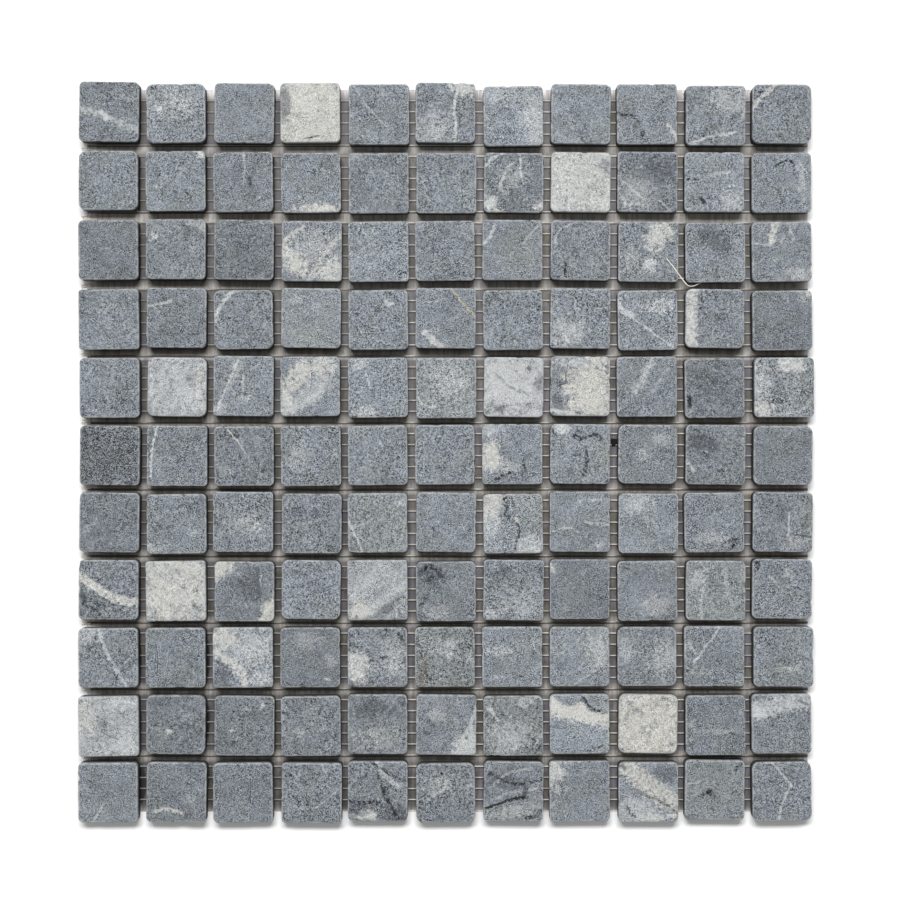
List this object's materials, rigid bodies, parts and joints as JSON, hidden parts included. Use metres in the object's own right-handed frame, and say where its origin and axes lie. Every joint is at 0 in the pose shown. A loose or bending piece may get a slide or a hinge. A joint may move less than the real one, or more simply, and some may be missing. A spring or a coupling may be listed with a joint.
{
  "type": "mosaic tile sheet",
  "caption": "Flat square sheet of tumbled grey marble chips, set in rows with open joints and held on a fibre net for fixing to a wall or floor.",
  "frame": {"origin": "middle of the sheet, on the surface that the net lies on", "axes": "+X along a row to the right, +Y up the sheet towards the first row, +Z out of the stone face"},
  "size_m": [0.3029, 0.3052, 0.0084],
  "materials": {
    "tumbled_marble": "tumbled and unpolished, grey with fine speckle, pale and cream veins and patches, and small dark pits",
    "fibre_net": "coated glass-fibre yarn, off-white and dusty"
  },
  "bodies": {
    "root": {"mesh_warp": "fibre_net", "mesh_weft": "fibre_net", "tile_row_01": "tumbled_marble", "tile_row_02": "tumbled_marble", "tile_row_03": "tumbled_marble", "tile_row_04": "tumbled_marble", "tile_row_05": "tumbled_marble", "tile_row_06": "tumbled_marble", "tile_row_07": "tumbled_marble", "tile_row_08": "tumbled_marble", "tile_row_09": "tumbled_marble", "tile_row_10": "tumbled_marble", "tile_row_11": "tumbled_marble"}
  },
  "joints": []
}
